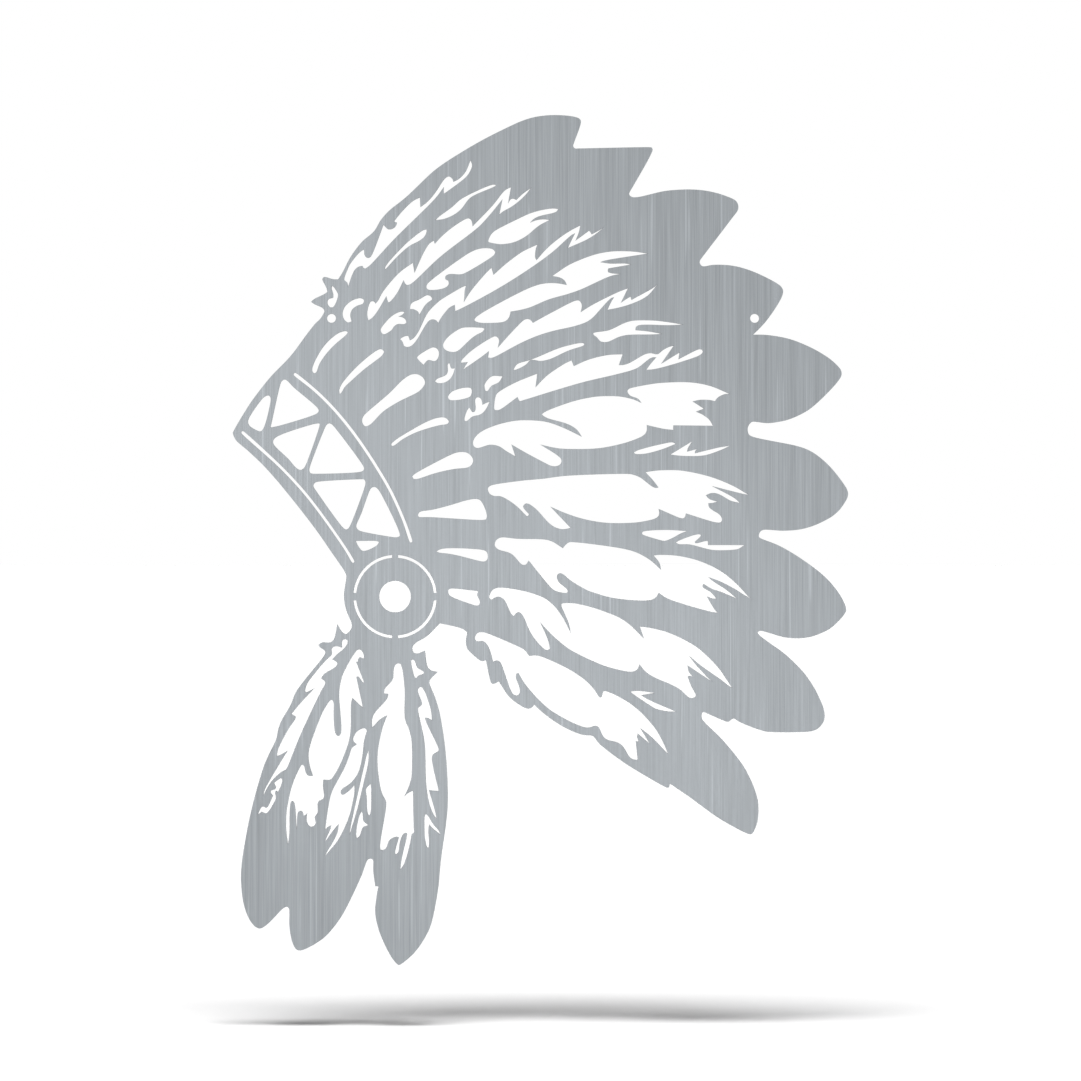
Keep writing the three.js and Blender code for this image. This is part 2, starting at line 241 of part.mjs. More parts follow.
// The finer cuts inside the crown feathers
const vaneCuts = {
  first: `
    | 385.4,269.4 384.8,267.4 390,260 400,249.2 408,241.2 417,234 423,229.9 | 426.3,228.9 426.7,231.4
    424.5,236.5 420,240.3 410,245.6 401,253 392,262`,
  firstUpper: `
    | 435.2,220.2 438,217 444,212.4 452,206.6 460,199.4 468,194.7 475,191.3 482,188.1 488.5,185.5
    494.5,184 496.1,184.5 495.4,185.9 489,188.8 482.5,191.7 476,194.4 471,197.2 468,200 465,204.2
    461.5,208.7 456.3,213.2 449.5,216.8 443,219.2`,
  second: `
    495.3,252 493,249 490,248 483,247.8 477,249 471,251.5 460,258.5 450,266 440,273 431,280 427,284
    426.2,287 427.5,289.2 431,290 438,289.5 444,288.2 448,285.5 449,282.5 448,280 446,279.3 445.3,277.3
    446.4,275.3 449,274.2 455,274 461,274.3 466,272.5 473,268.3 481,263 490,258 494,255`,
  secondUpper: `
    | 558.2,208.6 555,208 548,208.5 540,210 530,213 520,217.5 500,227.5 494,231 490,235.5 488.3,239.8
    488.4,241.8 491,242.5 496,243.7 503,244.2 511,243 519,240.2 527,235.5 534,229.5 540,225 546,221.8
    | 550,219.8 546,219 541,219 535,220.2 | 530.3,222.2 533,219.5 538,216.7 544,214.8 550,213.6 555,212.3
    557.5,210.5`,
  third: `
    | 648,253.5 640,252 632,251 622,250.7 612,251 602,252.5 592,255 580,260 570,264 562,269 556,273
    | 552.1,275.7 556,276.5 561,278 564.5,280.5 | 566.9,284.6 563.5,284.2 558,283 552,282.7 545,283
    538,284.5 530,287.3 522,291 512,296.5 500,302.3 490,308 483,312 477,316 474.5,318.8 474.6,320.6
    478,322.3 485,323 495,322.5 503,322 507,320 509.5,316.5 | 510.6,311.6 515,310.8 520,310 530,307.3
    540,303 550,299 560,296.3 570,293.3 580,289.8 590,285.5 600,280.5 607,277.5 613,275.3 | 620.8,273.8
    616,273.2 611,272.7 | 608.3,271.8 608,269.6 | 608.5,268.4 614,267.5 622,266 | 631,264.5 627,263.3
    622,263 612,263.2 605,262.7 | 600.5,261.8 603,261 612,259.7 622,257.7 635,255.5`,
  fourth: `
    584.3,343.8 583.2,342.8 578,343 570,344.7 560,347.5 550,351.3 540,355.5 530,359.7 522,361.8 517,364
    514.5,367 513.5,369 514.3,370 517,369.3 521,367 527,364 528.2,362.2 530,360.3 534,360 540,361
    546,360.2 552,358.3 560,354.5 568,350.8 575,348.5 581,346.5 584,345.2`,
  fourthUpper: `
    | 683.2,324.6 676,323 668,321.8 660,320.7 650,320 640,320 632,320.5 625,322.5 618,325.5 610,329.5
    603,331.2 596,332 593.5,332.8 593.2,334.2 597,337.5 600,341 603,342 607,342 612,340.3 618,337.3
    624,335.5 632,334.7 645,334.7 655,334.3 | 662.2,333.6 655,332.3 648,331 640,330.2 | 635.5,329.8
    635.8,327.5 638,325.5 642,325.2 655,325 670,325.2`,
  sixth: `
    633.8,452.4 636.2,450.7 640.3,449.6 650.5,446.6 660,444.2 669,442.4 673.1,442.2 675.7,443.9
    672.1,445.6 661.8,449.4 650.5,452.5 645.4,453.7 639.2,454.2 635.2,453.8`,
  sixthUpper: `
    | 670.5,454.3 675.1,451.3 680.3,448 685.4,445.2 690,442.6 | 691.9,441.3 689.5,445.7 687.8,448.9
    | 687.1,451.5 691,450.7 | 697,448.8 695.5,450.9 | 694.9,453.1 700.3,452 710,449.6 720.3,447
    | 730,445.5 724.4,448.6 715.1,452 707.9,454.6 700.3,455.9 690,456.1 680.3,455.8 675.1,455.2`,
  seventh: `
    | 687,530.9 682,533 677,535.6 672.1,538.3 668.1,539.9 664.6,541 660.7,540.3 656,538.7 650,537
    645,535.6 642.5,534.4 642,533 642.7,531.7 645.5,530.8 650.2,530.3 658.3,529.9 669,529.8 678.3,530.2`,
  seventhUpper: `
    | 708.2,544.9 | 744.3,544.9 741.5,547.2 738.5,549 734.2,549.8 727,550.3 718,550.2 712,549.9
    706.1,548.8 700,547.1 694,545.5 688,544.3 682,544.2 678.5,544.1 676.8,543.3 675.8,542.4 677.2,541.4
    680,540 685,538.3 690,536.3 695.2,534.6 699,534.1 700.9,534.6 700.8,536.2 698.5,538.2 696,540.5
    | 695,541.8 695.7,542.9 698.4,542.8 702.3,541.9 706.4,540.8 | 708.1,541`,
  ninth: `
    | 641.2,695.3 644,697.1 649,699.7 655,702.3 661,705 666.1,707 671.2,709.3 | 676.2,711.5 672,711.7
    667.1,711.5 661,710.3 656,709 652,706.8 647.1,703.3 642,700 637,696.4 632.9,693.9 630.9,691.9
    632.4,691 637,690.8 642,691 648,691.8 652.2,692.4 | 655,693 652.6,693.7 648,694.3 644,694.8`,
};

// The tapered cuts at the feet of the crown feathers, from the brow to the rosette
const quillCuts = {
  first: `
    312,368.5 312.3,371.5 314.2,373.3 316.5,372 317.5,368.5 320,363 325,355.5 330,349.5 336,343.5
    342,338.5 346.5,334.5 347.8,332.3 346.5,331 343,331 338,333 333,336.5 327,342 321,349.5 316.5,357.5
    313.5,363.5`,
  second: `
    | 339.6,394.2 341.8,392 344,388 350,382 357,376 364,369.5 372,363.5 379,358 383,354.3 384,351.5
    382,349.2 380,348.8 377,350 371,354 363,360.5 355,368 348,375.5 342,383 339.5,388 338.8,391`,
  third: `
    415.5,373.7 419.5,374.8 423.2,377.6 425,381.2 424.8,384.3 422,388.5 418,392 410,396 400,401 390,406.8
    383,411.8 376.3,418.3 371.8,423.2 368.5,425.5 365.5,426.4 362.8,424.2 361.8,420.3 363,416.2 367,412
    372,408 380.3,400.6 390.5,391.6 400.4,381.4 406.3,376.8 410.5,374.5`,
  fourth: `
    391.2,443.6 395,440 400,436.8 410,430.7 420,424.8 430,420 437,417.7 443,417 446.5,418.2 449,421
    448.7,422.6 447,424 441,425 432,427.2 420,430.8 410,435.2 402,439.7 396,443.8 393,446 391.3,445.6`,
  fifth: `
    412,476.5 415,473.5 420,470.5 430,465.5 440,460.3 450,454.8 456,452.5 462,451.7 467,452.5 471,455.5
    473.3,460 472.7,463 470.5,466 466.5,467.8 460,468.3 450,469.8 440,472 430,474.8 420,478 416,479.2
    413.3,478.8`,
  sixth: `
    417.8,515 418.8,512.5 421,511.2 430,510 440,507.5 450,505 460,502 468,499.7 474,498.7 479,499.3
    481.5,501.5 484,506 486.3,512 487,517 486,519.5 484,520 475,519.7 460,518.7 440,517.7 425,517
    418.4,516.8`,
  seventh: `
    436.2,551.5 438.5,549.8 443,548.5 450,548 460,548.2 470,548.5 480,549.8 485,550.5 487.2,552.5
    488,556.5 487,560 484.5,561.5 480,561.3 475,560 465,557.3 455,555 445,553.3 439,552.7`,
  eighth: `
    | 478.1,590.9 477.3,594 478,597 479.5,600 480,603 478.5,605.3 476,605.7 471,604.2 462,600.8 454,598
    449.5,595.5 448,592.5 448.4,589.5 450,588.6 453,588.5 460,589 470,590`,
};

// The small ragged cuts of the down where the feathers leave the brow
const downCuts = {
  browTip: `
    | 332.4,285.4 335,288.5 338.2,295 336.5,300 335,304.8 333.2,307 330.5,307.3 327.8,304.6 327.3,301
    328.6,298.8 330.8,298.2 | 333,297.4 333,294 331.6,289.5 331.5,286.8`,
  browCurl: `
    | 351.6,321.4 347.8,322.4 344.2,319.6 342.3,314.5 343.8,308 348,302.8 354,299.2 360,297.8 363.2,299
    364.2,301.2 362.6,303.8 357.5,305.6 352.6,309 350.4,314 350.8,318`,
  firstCurl: `
    | 404.8,312 401.5,311.2 396,313 390.5,316.7 385,322.5 380.4,329.4 381.6,333 384.2,334.3 387,332.6
    391.4,330.2 394.5,326 398.2,324 404,324.1 406.3,322.6 405.4,319.2 402.6,317.1 | 398.5,316.4
    402.2,314.8`,
  firstWisp: `
    | 419.6,314.3 417.4,311.2 413.6,309.3 | 409.8,309 410.6,304 414,301.1 418.6,299.4 423,296.6 428,294.8
    431.6,297 432,299.6 427,303.1 423.2,308.2 421.2,312.2`,
  secondWisp: `
    | 423.4,364.8 421,362 418,359.5 417,357.3 418.5,355 421.5,353.5 426,351 429.5,348.3 433,347 436.5,348
    438.7,351 439,355 437.5,359 435.3,361 432,360.8 429,360 427,360.6 425.3,362.6`,
  secondCurl: `
    | 434.8,381 437,382.8 441,383.2 446,382 450,379 453,374.5 | 455,368 452.5,368.3 | 451,367.7 450.4,365
    449.3,363 448.3,363 447.5,364.2 447.8,370 446.5,374 443.5,376 440,377.3 437,378.6`,
  secondTuft: `
    484.5,329 483.5,327.8 478,327.2 468,327 462,327.5 457,330 450,334.8 445,340 443,344 443.3,347.5
    446,350.3 450,351.7 454.5,352 458,350.8 462,347.3 467,342.5 472,338 478,334 482.5,331.8`,
  thirdWisp: `
    | 502.7,376 500.5,380 498.5,382.5 494.5,384.3 491,386.3 489,389 487.5,391 485.5,390.8 484.8,388.5
    484.3,386 485,383 488,380.3 490,377.5 | 491.6,376.1`,
  thirdTuft: `
    471.5,389 472,391 471.3,394.5 470,396.7 466,398.3 460,399.7 454,400.3 449.5,399.8 447.8,397.5
    448.8,394.5 452,391.3 457,389.2 462,387.8 468,387.3 470.8,387.8`,
  thirdFringe: `
    | 489.7,401.7 486,402.7 | 482.4,404.7 482.2,402 481.3,399 479.3,397.2 477,397 475.2,399 475,402
    475.5,406 475.3,409.5 474.3,411.5 472.3,411.8 470.7,410 469.8,408 468.8,407.4 467.3,409.5 466,413
    464.7,416.5 464.3,419.5 464.8,421 466.5,421.2 469,419.3 472,416.8 475.5,415.5 479,415 482,413.5
    485,410.5 487.5,406.5`,
};

// The row of triangles along the brow band, from the brow to the rosette
const bandTriangles = {
  first: `
    267.8,395 270.3,396.8 270.7,400.5 265.2,424 263,429.2 260.4,431.4 257.5,430.4 253,428 249.5,426
    247.7,422.4 248.4,418.5 255,408 262,398.6 265,396`,
  second: `
    | 270.2,427.3 275,426.8 281,425.2 300,419.2 313,415.1 317.2,413.4 318.8,411 318,408.3 315,405.3
    301,393.4 291,384.6 287.5,380.7 284.3,379.2 281.2,381.3 279.5,386 275,405`,
  third: `
    319.2,423 316,423.2 305,426.5 290,431 280,434.8 274.5,438 272.7,441.3 273.5,444.5 277,448.2 290,461
    294,466 297.5,469 300.5,470 303.6,468.5 306,464.5 308.2,459.3 319,427.8 319.8,424.6`,
  fourth: `
    329,423 326.5,424.5 324,429 318,445 312,460 309.5,467 309,470.5 310,473 313,473.8 320,473.7 340,472.8
    355,472 361,471.8 363.8,470 364,467.5 362.5,464.5 345,441 336,429.5 332.5,424.7`,
  fifth: `
    360,479 364,479.3 365.5,481.5 365,486 356,511 350,526 348,528.8 345.5,529.5 343,528 340,524 325,503
    317,492.5 314,488 313,485.5 314.5,482.7 318,481.5 335,480.3 352,479.3`,
  sixth: `
    373.5,486.7 370.5,488.5 368.5,493 360,516 357,522.5 356,526 357,529 360,531 375,534 390,536.8
    397,537.3 399.8,536 399.5,532.5 390,511 380,492 377,488`,
  seventh: `
    | 355.8,540.8 372,540.7 377,541 379,542 378.5,543.7 375,546.7 369,549.7 364.5,551 361.5,550.5
    359,547.5 356.7,543.8`,
};

// The two fine slits that edge the brow band: each is a centre-line with a width
const bandSlits = {
  upper: {
    width: 2.9,
    line: `
      | 294.9,374.2 305,381.9 317.5,392.7 329,403.9 340.4,416.6 351,429.7 361.1,443.6 371.2,458.7
      381.2,474.8 388,486.4 394.1,498.5 400,511.8 405.9,526.1 | 410.8,541`,
  },
  lower: {
    width: 2.8,
    line: `
      | 242.5,432.4 249.7,439 259.7,447.8 269.6,456.6 279.5,466.1 290,476.7 300,487.6 309.8,499.3
      320.2,513 330.6,527.3 339,539.5 347.3,551.8 | 352.9,561.4`,
  },
};

// The openings among the three feathers that hang below the rosette
const dropCuts = {
  frontEdge: `
    | 341.9,647.6 341.7,644.6 341.9,641.4 343,639.7 345,639 347.4,640 347.8,642.4 346.6,645.2 344,648.5
    341,651 337.5,654 334.5,656.9 | 332.3,659.3 334.7,660.6 336.8,662.1 337.4,664 336.2,666.4 333,668.7
    329.1,670.8 325.5,673 323,675.5 | 321.2,678.4 323.3,679.9 325.1,681.6 325.3,683.4 324,686 321,691.5
    318.3,697.6 315,705 311.5,711.5 308.5,718.1 305.5,725 302.4,731.2 299.5,737.3 297,743.4 294.4,749.5
    292,755.4 289.4,762.2 287.5,767 285.9,769.6 282.6,771.3 279.2,773.7 275,777.8 271.4,781.6 269,785.1
    266.5,789.4 264.8,793.1 | 263.4,795.8 263.6,792.7 265,788.6 267.6,784.3 270.4,779 274,773.1
    277.9,766.8 281,761 284.6,755.4 | 287.6,750.6 284,752.3 280.6,754.5 278.2,755.9 | 276.6,755.8
    276.7,753.8 277.5,750.4 279.7,745.4 283,738.3 287.1,731 290.5,725.4 293.6,721.4 295.3,718.6
    | 295.6,716.9 294.2,715.6 292.4,714.7 | 291.3,713.9 293.9,710.8 297.5,706.5 301,702.2 305.6,697.3
    310.2,692.8 312.6,690.2 | 314.5,688 311.7,689.3 309.1,690.9 307,692.1 305.4,692.2 | 304.8,690.8
    305.4,688 307.1,683.4 309.9,680.1 313.3,675.3 316.2,671.2 319.6,667.2 323.1,663.2 326.6,659.3
    329.2,656.8 | 331.6,654.4 331.6,652 331.3,649.8 332.3,647.7 334.3,646.3 337.1,646.1 339.5,646.7`,
  middle: `
    | 363.4,658.9 361.3,657.7 359.3,657.6 358.2,659.4 | 357.8,661.8 | 356.2,661.8 357.1,664.6 359,669.5
    361,674.4 363,678.9 | 364.2,682.2 362.8,682.6 361,680.4 359.5,677.8 357.8,676.6 | 356.4,677 357,681
    358.3,685.7 359.5,691 360.7,697 362,703.1 | 363,707.4 360.7,706 357.6,703.3 354.5,700.3 | 352.3,697.9
    351.5,700.5 351.1,705.2 351,715 351,725 350.5,732.3 349.5,738.9 347.5,746 345,753 342,760 339,767
    336,772.6 333.4,776.6 330.9,779.4 328,780.3 325.5,779.7 | 323.3,779.8 323,785 323.7,791.5 324.1,796.7
    322.8,799.3 320,800.5 318.2,802 317.6,805.3 317.8,810.4 317.3,813.6 315.3,815.9 314.8,817.5
    315.6,820.7 315.8,823.3 314.5,825.4 312,827 309.5,826.4 307.5,823.9 306.4,820.5 306.7,817
    | 306.9,813.2 305.3,815 | 303.2,816.1 303,813.5 301.8,811.5 300,810.9 298.4,812 297.6,815.5
    297.3,820.5 297,825.6 | 296.4,829.8 296,824.8 295.5,819 294.9,812.4 294.5,806.1 293.8,802.2
    292.4,801.1 291.2,801.7 290.3,805.3 289.8,812.1 289.5,820.5 289.7,828.1 289.3,835.4 288.6,840.5
    | 287.8,844.9 287.1,841 286.2,834.2 285.8,826.4 285.8,818.5 286.4,810.4 287.7,802.8 289.1,796.5
    290.5,790.1 292.6,783.3 295.1,777 298.2,771.2 300,767.1 301.5,764.8 303,764.8 304.4,766.5 305.2,769.6
    306,772.8 308.1,775.3 310.5,776 | 312.8,775.8 312,772.9 310.3,768.9 309,763.3 308.2,757 308.7,750.2
    310.3,743.7 313.1,735.6 316,728 318.5,722.1 320.4,716.6 323,711 326,706.2 328.6,701.9 330.6,699.8
    332.3,699.8 333.5,701.6 333.8,706.2 333.7,714 334,721.1 334.5,728 335.5,733 337.1,735.4 339,735.8
    340.5,733.8 341,730 340.9,722 340.3,714 339.5,707.2 339.1,700 338.9,694 339.4,688 340.4,682 342,675.8
    344.6,670 347.6,664.4 350,660 353.1,655.2 355.6,651.5 357.4,649.8 359.2,649.1 361.5,650.3 363.3,653.3
    364.1,656.7`,
  rear: `
    | 388.2,694 387.6,696.9 385.9,700 382.6,704.2 379,708 375.5,711.7 373,715.8 371.8,719.6 371.7,723.4
    | 372.3,727.5 374.4,725.3 377.1,722.4 380.5,719.2 384,717.1 | 387,715.2 386,718.6 384.4,723
    382.5,727.4 381,733 379.6,738.9 378.3,746 377.5,752.3 377.1,760.2 377.4,767.2 378.3,774.5 379.3,782
    380.4,788.8 382,794 384,797.8 385.4,800.6 385.9,803.5 385.9,807 385,811.6 384,818 383,824 382,830.6
    381,836.5 380.2,842 379.9,847 | 380.3,849.7 382,850.4 384.5,849.8 386.4,847.7 387.7,844.3 389,841
    391,839.1 393.8,837.7 396.8,836.9 | 398.8,837.4 398,841 396.7,845 395.7,849.4 394.9,852.8 395.8,854.6
    397.5,853.3 398.9,850.4 399.4,846 400.1,841.8 401.4,837.5 403.1,834.5 404.9,833.2 | 407,833
    406.5,837.2 405.3,842.3 404,847.9 402.5,854.5 401.2,860.5 400.5,865.5 | 400.2,869.7 402,867.7
    404.1,864 406,859 407.5,853.4 409,847.6 410.5,841.5 411.3,837.4 | 411.8,834.2 413.9,832.9 | 413.8,826
    413.7,815 413.6,805 413.4,796 | 413.1,790.8 411,791.5 408,793.1 | 404.3,796.6 406,792.9 408.1,788.6
    409.8,784 411.4,778.2 412,772 412.2,762 412.2,752 412,745 411.4,738.6 410.1,732.8 408.6,727.7
    406.6,722.9 | 405.2,719.1 405.2,710 405.2,700 404.9,690.3 404,682 403,674 402,667.1 400.6,664
    398.5,663.2 396.1,664.1 394.1,667.1 393.2,671.5 393,677 392.1,680.2 389.2,683.2 386.1,686.6
    384.3,689.7 383.8,692.3 | 384.1,693.7`,
  rearEdge: `
    | 432,720.4 430.5,719.5 428,718.3 | 425,717.6 426,721.1 428.1,725.7 430.4,730.8 432.5,735.5 435,740.4
    437.1,744.7 438.7,748.7 438.5,750.9 437.1,752.2 434,753.7 432.5,755.5 432,758 432.4,761.6 433.2,766.5
    434.5,772.6 436.2,779 437.8,786 | 438.9,790.8 436.1,791.2 433,790.5 | 429,790.1 430,794.4 431.5,799.2
    433,804.5 434.6,809.9 436,814.7 | 436.4,818.9 434.4,816.4 432.4,812.7 430.7,808.6 429.3,804.3
    428.2,799.3 427.2,794.4 426.6,789.3 425.9,782.3 425.5,774 425.3,765 425.1,756.5 424.8,748 424.3,742
    423.4,736.1 422.4,731 421.2,726 420,720.2 419,715 418.2,711.2 417.9,708.4 419.1,706.7 421,705.6
    421.8,703.2 421,700.5 419.6,697.1 418.2,693.3 417.6,690.3 418.6,688.2 420.7,686.9 422.9,688.1
    424.8,691.4 426.6,696.4 428.4,701.2 429.9,705.7 431,710.2 431.8,715`,
  frontStar: `
    | 277.8,792.3 277.1,791.2 276.1,790.7 275.2,792.5 275.6,795.3 276,798 275,800.6 273,804 271,807.9
    268.6,811.3 266.4,813.3 264.8,813.6 263.1,812.3 261.6,811.8 260.2,812.9 | 258,815 258.7,811.9
    260.2,808.9 261.8,806.9 263.3,806.5 265,807.6 266.7,807.6 268.3,805.4 270,801.5 271.3,797.9
    | 272.8,795.5 271.4,794.1 270.5,792.5 271.1,790.6 273,789.7 275,789.1 | 276.1,787.4 275.2,785
    274.2,783.5 275.3,781.6 277.9,780 279.8,778.6 281.2,777.9 282.4,780 281.5,783.8 280.3,787.6 279,790.4`,
  middleGap: `
    | 356.6,744.3 354.6,743 353.1,741 352.9,738.6 354.2,735.5 355.6,732.9 358,730.6 361,729 363.5,728.1
    365.2,728.3 367,730.2 366.5,733 365.1,737.1 364,742.3 363.4,748 362.4,756.5 361.1,763.2 358.9,771.3
    355.6,777.2 353,780.6 350,783.7 346,786.4 342.6,788.8 341.3,790.4 340.8,792.4 341.3,793.9 343,794.6
    345,793.6 347.8,791.7 350.8,788.9 | 354.2,785.2 354.6,787.2 354.4,791 354,796 353,801 351.5,807.9
    349.5,815.5 347,821.9 344.6,827.9 341,835 337.6,840.8 333.5,846 330,849.7 327.6,853 | 325.2,856
    326.5,852.4 329.1,848.3 332.1,843.3 334.6,838.2 337,833.2 338,829.1 | 338.6,824 336.5,826.7
    333.5,830.2 330.4,834.4 327.6,838.5 | 325,842 326.1,838.2 328.1,833.7 330.1,829.2 | 330.9,825.5
    328.6,826.5 326.6,828.5 | 325,829.7 325.7,823.8 326.4,817.7 327.5,810.9 328.8,804.3 329.8,798.2
    331.3,793.1 333.5,787.6 336.5,782.5 340,776 343.4,769.6 346.5,762.3 348.9,756.2 350.4,750.9
    351.6,748.1 353.7,746.2`,
  middleSlit: `
    | 368.8,750.7 368.9,754 368.6,760.3 367,767.3 365.3,775 363.7,782.5 362,790 360.3,797.2 358.5,804.8
    356.5,812.2 354.3,819.2 352.3,825.8 351,830.7 | 349.6,834.6 350,829 351.5,822.3 353,815.5 354.8,808.1
    356.5,800.3 358.3,792.2 360,784.5 361.9,776.5 363.5,768.1 365.3,760.3 367,753.6`,
  rearSlit: `
    | 370.7,783.8 371.1,786 371.3,793.2 371.3,801.3 371.1,808.1 370.4,813.6 369.3,815.9 368.1,814.7
    367,810.4 366.8,803.3 366.4,796.2 365.7,790.6 366.2,788.2 368.1,786.6`,
  rearStar: `
    361.5,811.4 362.7,813.4 362.9,817 363.3,820.5 364.7,822.3 366.8,823.4 368.2,824.9 366.8,826
    364.7,826.5 363.2,827.2 362.3,829.2 361,832.6 359.5,836.2 357.6,838.2 356.3,837.4 356,834 356.3,828.9
    357.3,823.8 358.6,818.5 359.7,814.5`,
  rearCurl: `
    412.5,659.2 414.5,660.5 415.7,663.8 417.6,667.6 420,669.5 422.9,671 424.2,672.6 422.9,674.3
    420.1,674.9 417.8,676.1 416.7,677.9 414.6,677.5 413.7,673.9 412.2,667.6 410.9,662.3 411,660.2`,
  rearTail: `
    | 440.2,834.8 437.9,832.9 434.9,830.3 432,828 430.2,825.8 | 429.2,824.4 428.7,826 428.4,830.2
    428.7,835 429.1,840.5 429.1,845 | 428.8,848 427.3,847.8 426.1,845 425.1,840.5 424.5,835 424.3,828.1
    424.3,821 424.7,816 425.7,814 427.3,815.2 429.4,817.6 431.2,821 433.5,824.5 436.6,828.3 439,830.9`,
};

// The drawing on the wall plane, in millimetres from the origin
const place = ([x, y]) => new THREE.Vector2((x - middle) * unit, (drawing.screwLevel - y) * unit);

// One smooth stretch of a line, as closely spaced points
function bend(points, closed) {
  if (points.length < 3) {
    return points;
  }
  const flat = points.map((p) => new THREE.Vector3(p.x, p.y, 0));
  const curve = new THREE.CatmullRomCurve3(flat, closed, 'centripetal');
  const spans = closed ? points.length : points.length - 1;
  return curve.getPoints(spans * curveSteps).map((p) => new THREE.Vector2(p.x, p.y));
}

// The fewest of those points that keep to the line within the flatness
function thin(points) {
  const first = points[0];
  const last = points[points.length - 1];
  const chord = last.clone().sub(first);
  const length = chord.length();
  let furthest = 0;
  let at = 0;
  for (let i = 1; i < points.length - 1; i += 1) {
    const step = points[i].clone().sub(first);
    const away = length > 1e-9 ? Math.abs(chord.cross(step)) / length : step.length();
    if (away > furthest) {
      furthest = away;
      at = i;
    }
  }
  if (furthest <= flatness) {
    return [first, last];
  }
  return [...thin(points.slice(0, at + 1)).slice(0, -1), ...thin(points.slice(at))];
}

// The points of a written line and the places of its corners
function read(text) {
  const points = [];
  const corners = [];
  for (const word of text.trim().split(/\s+/)) {
    if (word === '|') {
      corners.push(points.length);
    } else {
      points.push(place(word.split(',').map(Number)));
    }
  }
  return { points, corners };
}

// A closed line of the drawing as the corners of a polygon
function closedLine(text) {
  const { points, corners } = read(text);
  if (corners.length === 0) {
    return thin(bend(points, true)).slice(0, -1);
  }
  const polygon = [];
  corners.forEach((from, i) => {
    const next = i + 1 < corners.length ? corners[i + 1] : corners[0] + points.length;
    const stretch = [];
    for (let k = from; k <= next; k += 1) {
      stretch.push(points[k % points.length]);
    }
    polygon.push(...thin(bend(stretch, false)).slice(0, -1));
  });
  return polygon;
}

// A cut as a polygon, with every corner drawn in by the trim
function cutLine(text) {
  const drawn = closedLine(text);
  const inward = THREE.ShapeUtils.area(drawn) > 0 ? cutTrim : -cutTrim;
  return drawn.map((p, i) => {
    const before = drawn[(i + drawn.length - 1) % drawn.length];
    const after = drawn[(i + 1) % drawn.length];
    const along = after.clone().sub(before).normalize();
    return new THREE.Vector2(p.x - along.y * inward, p.y + along.x * inward);
  });
}

// A slit of even width with round ends along a centre-line
function slit({ width, line }) {
  const centre = thin(bend(read(line).points, false));
  const half = (width * unit) / 2;
  const left = [];
  const right = [];
  centre.forEach((p, i) => {
    const before = centre[Math.max(i - 1, 0)];
    const after = centre[Math.min(i + 1, centre.length - 1)];
    const along = after.clone().sub(before).normalize();
    const across = new THREE.Vector2(-along.y, along.x).multiplyScalar(half);
    left.push(p.clone().add(across));
    right.unshift(p.clone().sub(across));
  });
  const roundEnd = (from, about) => {
    const turns = [-1, -2, -3].map((n) => (n * Math.PI) / 4);
    return turns.map((turn) => from.clone().rotateAround(about, turn));
  };
  const lastPoint = centre[centre.length - 1];
  const firstPoint = centre[0];
  const farEnd = roundEnd(left[left.length - 1], lastPoint);
  const nearEnd = roundEnd(right[right.length - 1], firstPoint);
  return [...left, ...farEnd, ...right, ...nearEnd];
}

// A whole circle
function circle(x, y, radius, sides) {
  const centre = place([x, y]);
  const ring = new THREE.EllipseCurve(centre.x, centre.y, radius, radius);
  return ring.getPoints(sides).slice(0, -1);
}

// One quarter of the ring slot, between two bridges with parallel sides
function ringQuarter(quarter) {
  const centre = place([rosette.x, rosette.y]);
  const startBridge = quarter % 2 === 0 ? rosette.sideBridge : rosette.topBridge;
  const endBridge = quarter % 2 === 0 ? rosette.topBridge : rosette.sideBridge;
  const arc = (radius) => {
    const from = (quarter * Math.PI) / 2 + Math.asin(startBridge / 2 / radius);
    const to = ((quarter + 1) * Math.PI) / 2 - Math.asin(endBridge / 2 / radius);
    const bow = new THREE.EllipseCurve(centre.x, centre.y, radius * unit, radius * unit, from, to);
    return bow.getPoints(ringSteps);
  };
  return [...arc(rosette.slotOuter), ...arc(rosette.slotInner).reverse()];
}

const cuts = [
  ...Object.values(featherGaps).map(cutLine),
  ...Object.values(vaneCuts).map(cutLine),
  ...Object.values(quillCuts).map(cutLine),
  ...Object.values(downCuts).map(cutLine),
  ...Object.values(bandTriangles).map(cutLine),
  ...Object.values(bandSlits).map(slit),
  ...Object.values(dropCuts).map(cutLine),
  ...[0, 1, 2, 3].map(ringQuarter),
  circle(rosette.x, rosette.y, rosette.hole * unit, rosetteSides),
  circle(drawing.leftScrew, drawing.screwLevel, screwHoleRadius, screwSides),
  circle(drawing.rightScrew, drawing.screwLevel, screwHoleRadius, screwSides),
];

const sheet = new THREE.Shape(closedLine(outerEdge).reverse());
sheet.holes = cuts.map((points) => new THREE.Path(points));

const plateShape = new THREE.ExtrudeGeometry(sheet, { depth: sheetThickness, bevelEnabled: false });
plateShape.rotateX(Math.PI / 2);

const brushedSteel = new THREE.MeshStandardMaterial({ color: 0xa9aeb1, roughness: 0.4, metalness: 1 });
const plate = new THREE.Mesh(plateShape, brushedSteel);
plate.name = 'headdress_plate';

const plaque = new THREE.Group();
plaque.name = 'feathered_headdress_plaque';
plaque.add(plate);

export default plaque;
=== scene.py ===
import math

import bmesh
import bpy
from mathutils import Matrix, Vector, kdtree
from mathutils.geometry import delaunay_2d_cdt


